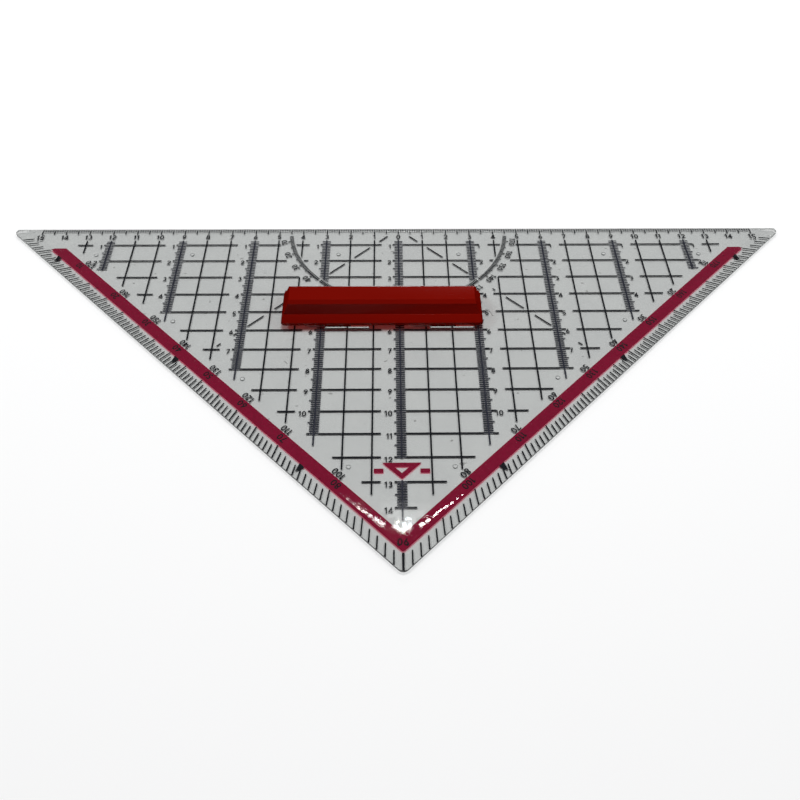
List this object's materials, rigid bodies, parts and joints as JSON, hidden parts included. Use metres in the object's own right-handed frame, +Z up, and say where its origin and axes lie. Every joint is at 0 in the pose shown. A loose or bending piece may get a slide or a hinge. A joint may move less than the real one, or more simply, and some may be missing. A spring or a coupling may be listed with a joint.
{
  "type": "drawing set square",
  "caption": "Clear 45-degree set square with centimetre grid, protractor scales, bevelled edges and a sliding clip-on grip.",
  "frame": {"origin": "the zero mark of the long edge, in the plane that the part rests on", "axes": "+X to the right along the long edge, +Y out of the long edge with the plate at negative Y, +Z up"},
  "size_m": [0.3228, 0.1626, 0.0115],
  "materials": {
    "clear_plastic": "polished clear styrene or acrylic",
    "red_plastic": "glossy moulded red plastic",
    "black_ink": "screen-printed black ink",
    "crimson_ink": "screen-printed crimson ink"
  },
  "bodies": {
    "set_square": {"plate": "clear_plastic", "edge_scale": "black_ink", "edge_numbers": "black_ink", "grid_lines": "black_ink", "column_scales": "black_ink", "row_numbers": "black_ink", "diagonal_marks": "black_ink", "arc_scale": "black_ink", "arc_numbers": "black_ink", "left_leg_scale": "black_ink", "right_leg_scale": "black_ink", "leg_numbers": "black_ink", "band_numbers": "black_ink", "angle_pointers": "black_ink", "leg_band": "crimson_ink", "emblem": "crimson_ink"},
    "grip": {"grip": "red_plastic"}
  },
  "joints": [
    {"name": "grip_slide", "type": "slide", "parent": "set_square", "child": "grip", "axis": [1, 0, 0], "range_m": [0, 0.0067]}
  ]
}
